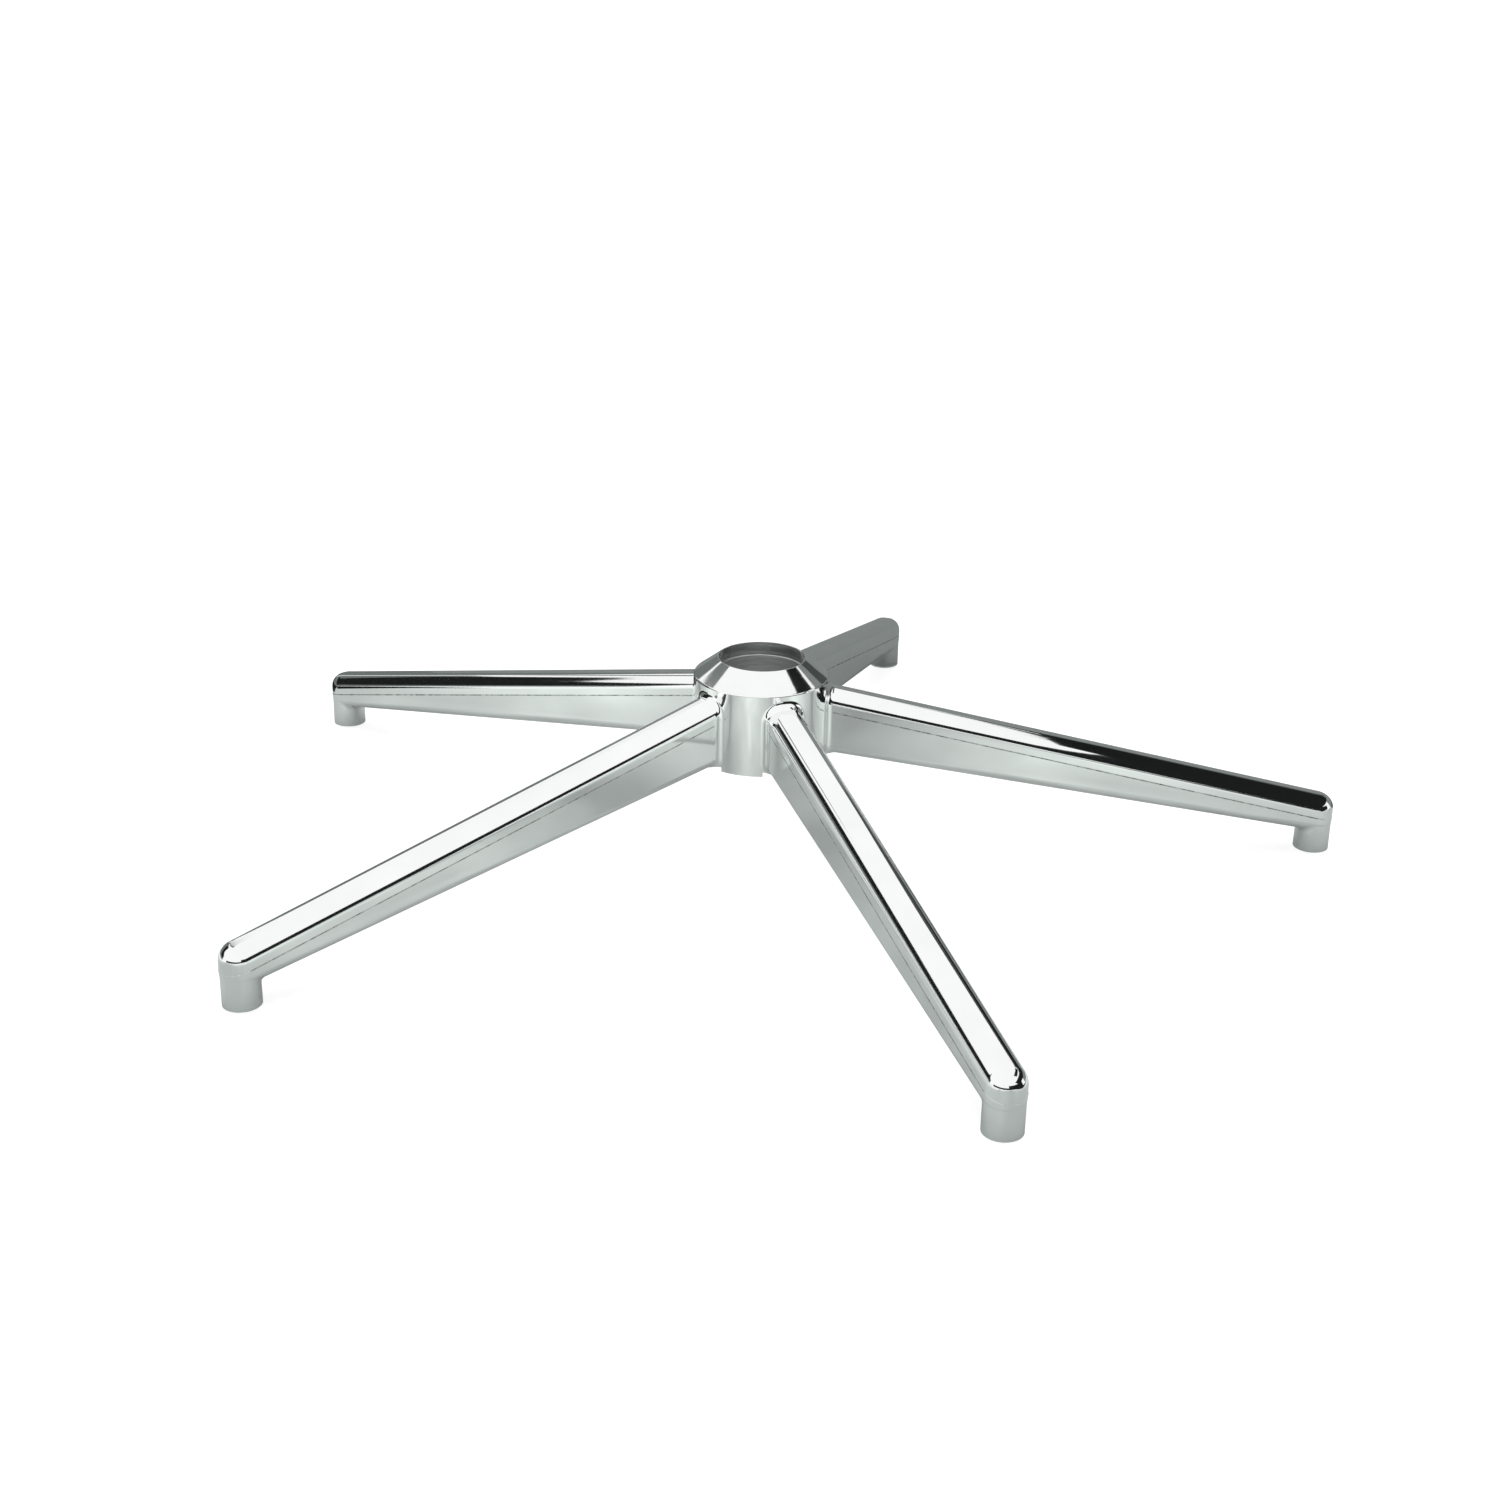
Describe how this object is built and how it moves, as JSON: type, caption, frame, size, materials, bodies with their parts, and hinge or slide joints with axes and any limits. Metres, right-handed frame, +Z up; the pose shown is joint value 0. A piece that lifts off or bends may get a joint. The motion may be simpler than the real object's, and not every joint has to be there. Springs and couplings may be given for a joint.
{
  "type": "swivel chair base",
  "caption": "Polished cast five-arm star base with a tapered hub for a lift column and a round caster socket under each arm tip.",
  "frame": {"origin": "centre of the caster circle, on the hub's axis in the plane of the socket mouths", "axes": "+Z up along the hub's axis; +X along the first arm"},
  "size_m": [0.6352, 0.6668, 0.122],
  "materials": {
    "polished_casting": "mirror-polished cast aluminium"
  },
  "bodies": {
    "root": {"star_base": "polished_casting"}
  },
  "joints": []
}
